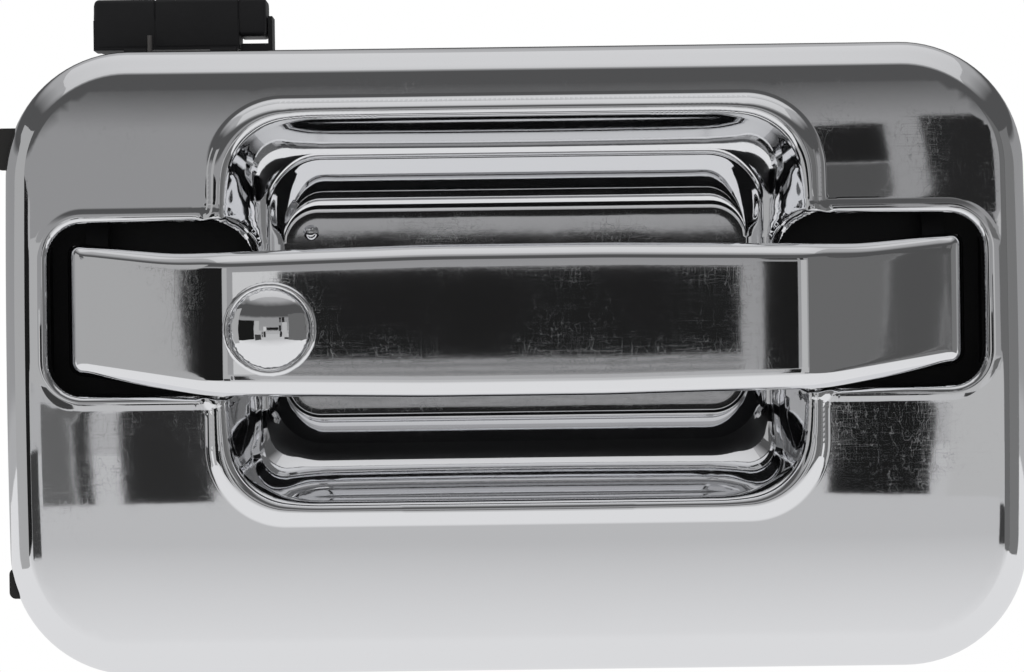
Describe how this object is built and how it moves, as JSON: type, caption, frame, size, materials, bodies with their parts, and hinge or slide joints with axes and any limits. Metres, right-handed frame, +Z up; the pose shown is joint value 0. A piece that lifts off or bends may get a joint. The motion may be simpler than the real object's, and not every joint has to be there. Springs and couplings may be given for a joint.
{
  "type": "car door handle",
  "caption": "Outside door handle: chromed cover with a finger scoop, a bowed pull strap hinged above, a blank lock cap and the bellcrank that drives the latch rod.",
  "frame": {"origin": "midway between the two mounting studs, on the door skin that the gasket rests on", "axes": "+X along the strap to the right seen from outside, +Y into the door, +Z up"},
  "size_m": [0.2335, 0.0707, 0.155],
  "materials": {
    "chrome": "polished",
    "black_plastic": "moulded",
    "rubber": "moulded",
    "zinc_arm": "coated casting",
    "steel": "zinc plated",
    "spring_steel": "oiled",
    "white_plastic": "moulded"
  },
  "bodies": {
    "frame": {"bezel": "chrome", "door_gasket": "rubber", "housing": "black_plastic", "rest_bumper_left": "rubber", "rest_bumper_right": "rubber", "bezel_screws": "steel", "mounting_stud_left": "steel", "mounting_stud_right": "steel", "hinge_pin": "steel", "hinge_pin_clip": "spring_steel", "bellcrank_pin": "steel", "bellcrank_pin_clip": "spring_steel", "grip_spring": "spring_steel", "bellcrank_spring": "spring_steel"},
    "grip": {"grip_shell": "chrome", "grip_liner": "black_plastic", "grip_arm_left": "zinc_arm", "grip_arm_right": "zinc_arm", "grip_arm_screws": "steel", "pivot_bush_left": "white_plastic", "pivot_bush_right": "white_plastic", "lock_ring": "chrome", "lock_cap": "chrome", "lock_cap_retainer": "spring_steel"},
    "bellcrank": {"bellcrank": "zinc_arm", "counterweight": "zinc_arm"},
    "rod_clip": {"rod_clip": "white_plastic"}
  },
  "joints": [
    {"name": "grip_hinge", "type": "hinge", "parent": "frame", "child": "grip", "pos_m": [0, 0.003, 0.07], "axis": [-1, 0, 0], "range_deg": [0, 16], "stiffness_Nm_per_rad": 0.4, "springref_deg": -28.65, "deforming": ["grip_spring"]},
    {"name": "bellcrank_pivot", "type": "hinge", "parent": "frame", "child": "bellcrank", "pos_m": [-0.08, 0.012, 0.082], "axis": [-1, 0, 0], "range_deg": [0, 24], "stiffness_Nm_per_rad": 0.05, "springref_deg": -34.38, "deforming": ["bellcrank_spring"]},
    {"name": "rod_clip_pivot", "type": "hinge", "parent": "bellcrank", "child": "rod_clip", "pos_m": [-0.082, 0.035, 0.07565], "axis": [-1, 0, 0], "range_deg": [-25, 25]}
  ],
  "couplings": [
    {"joint": "bellcrank_pivot", "follows": "grip_hinge", "ratio": 1.5}
  ]
}
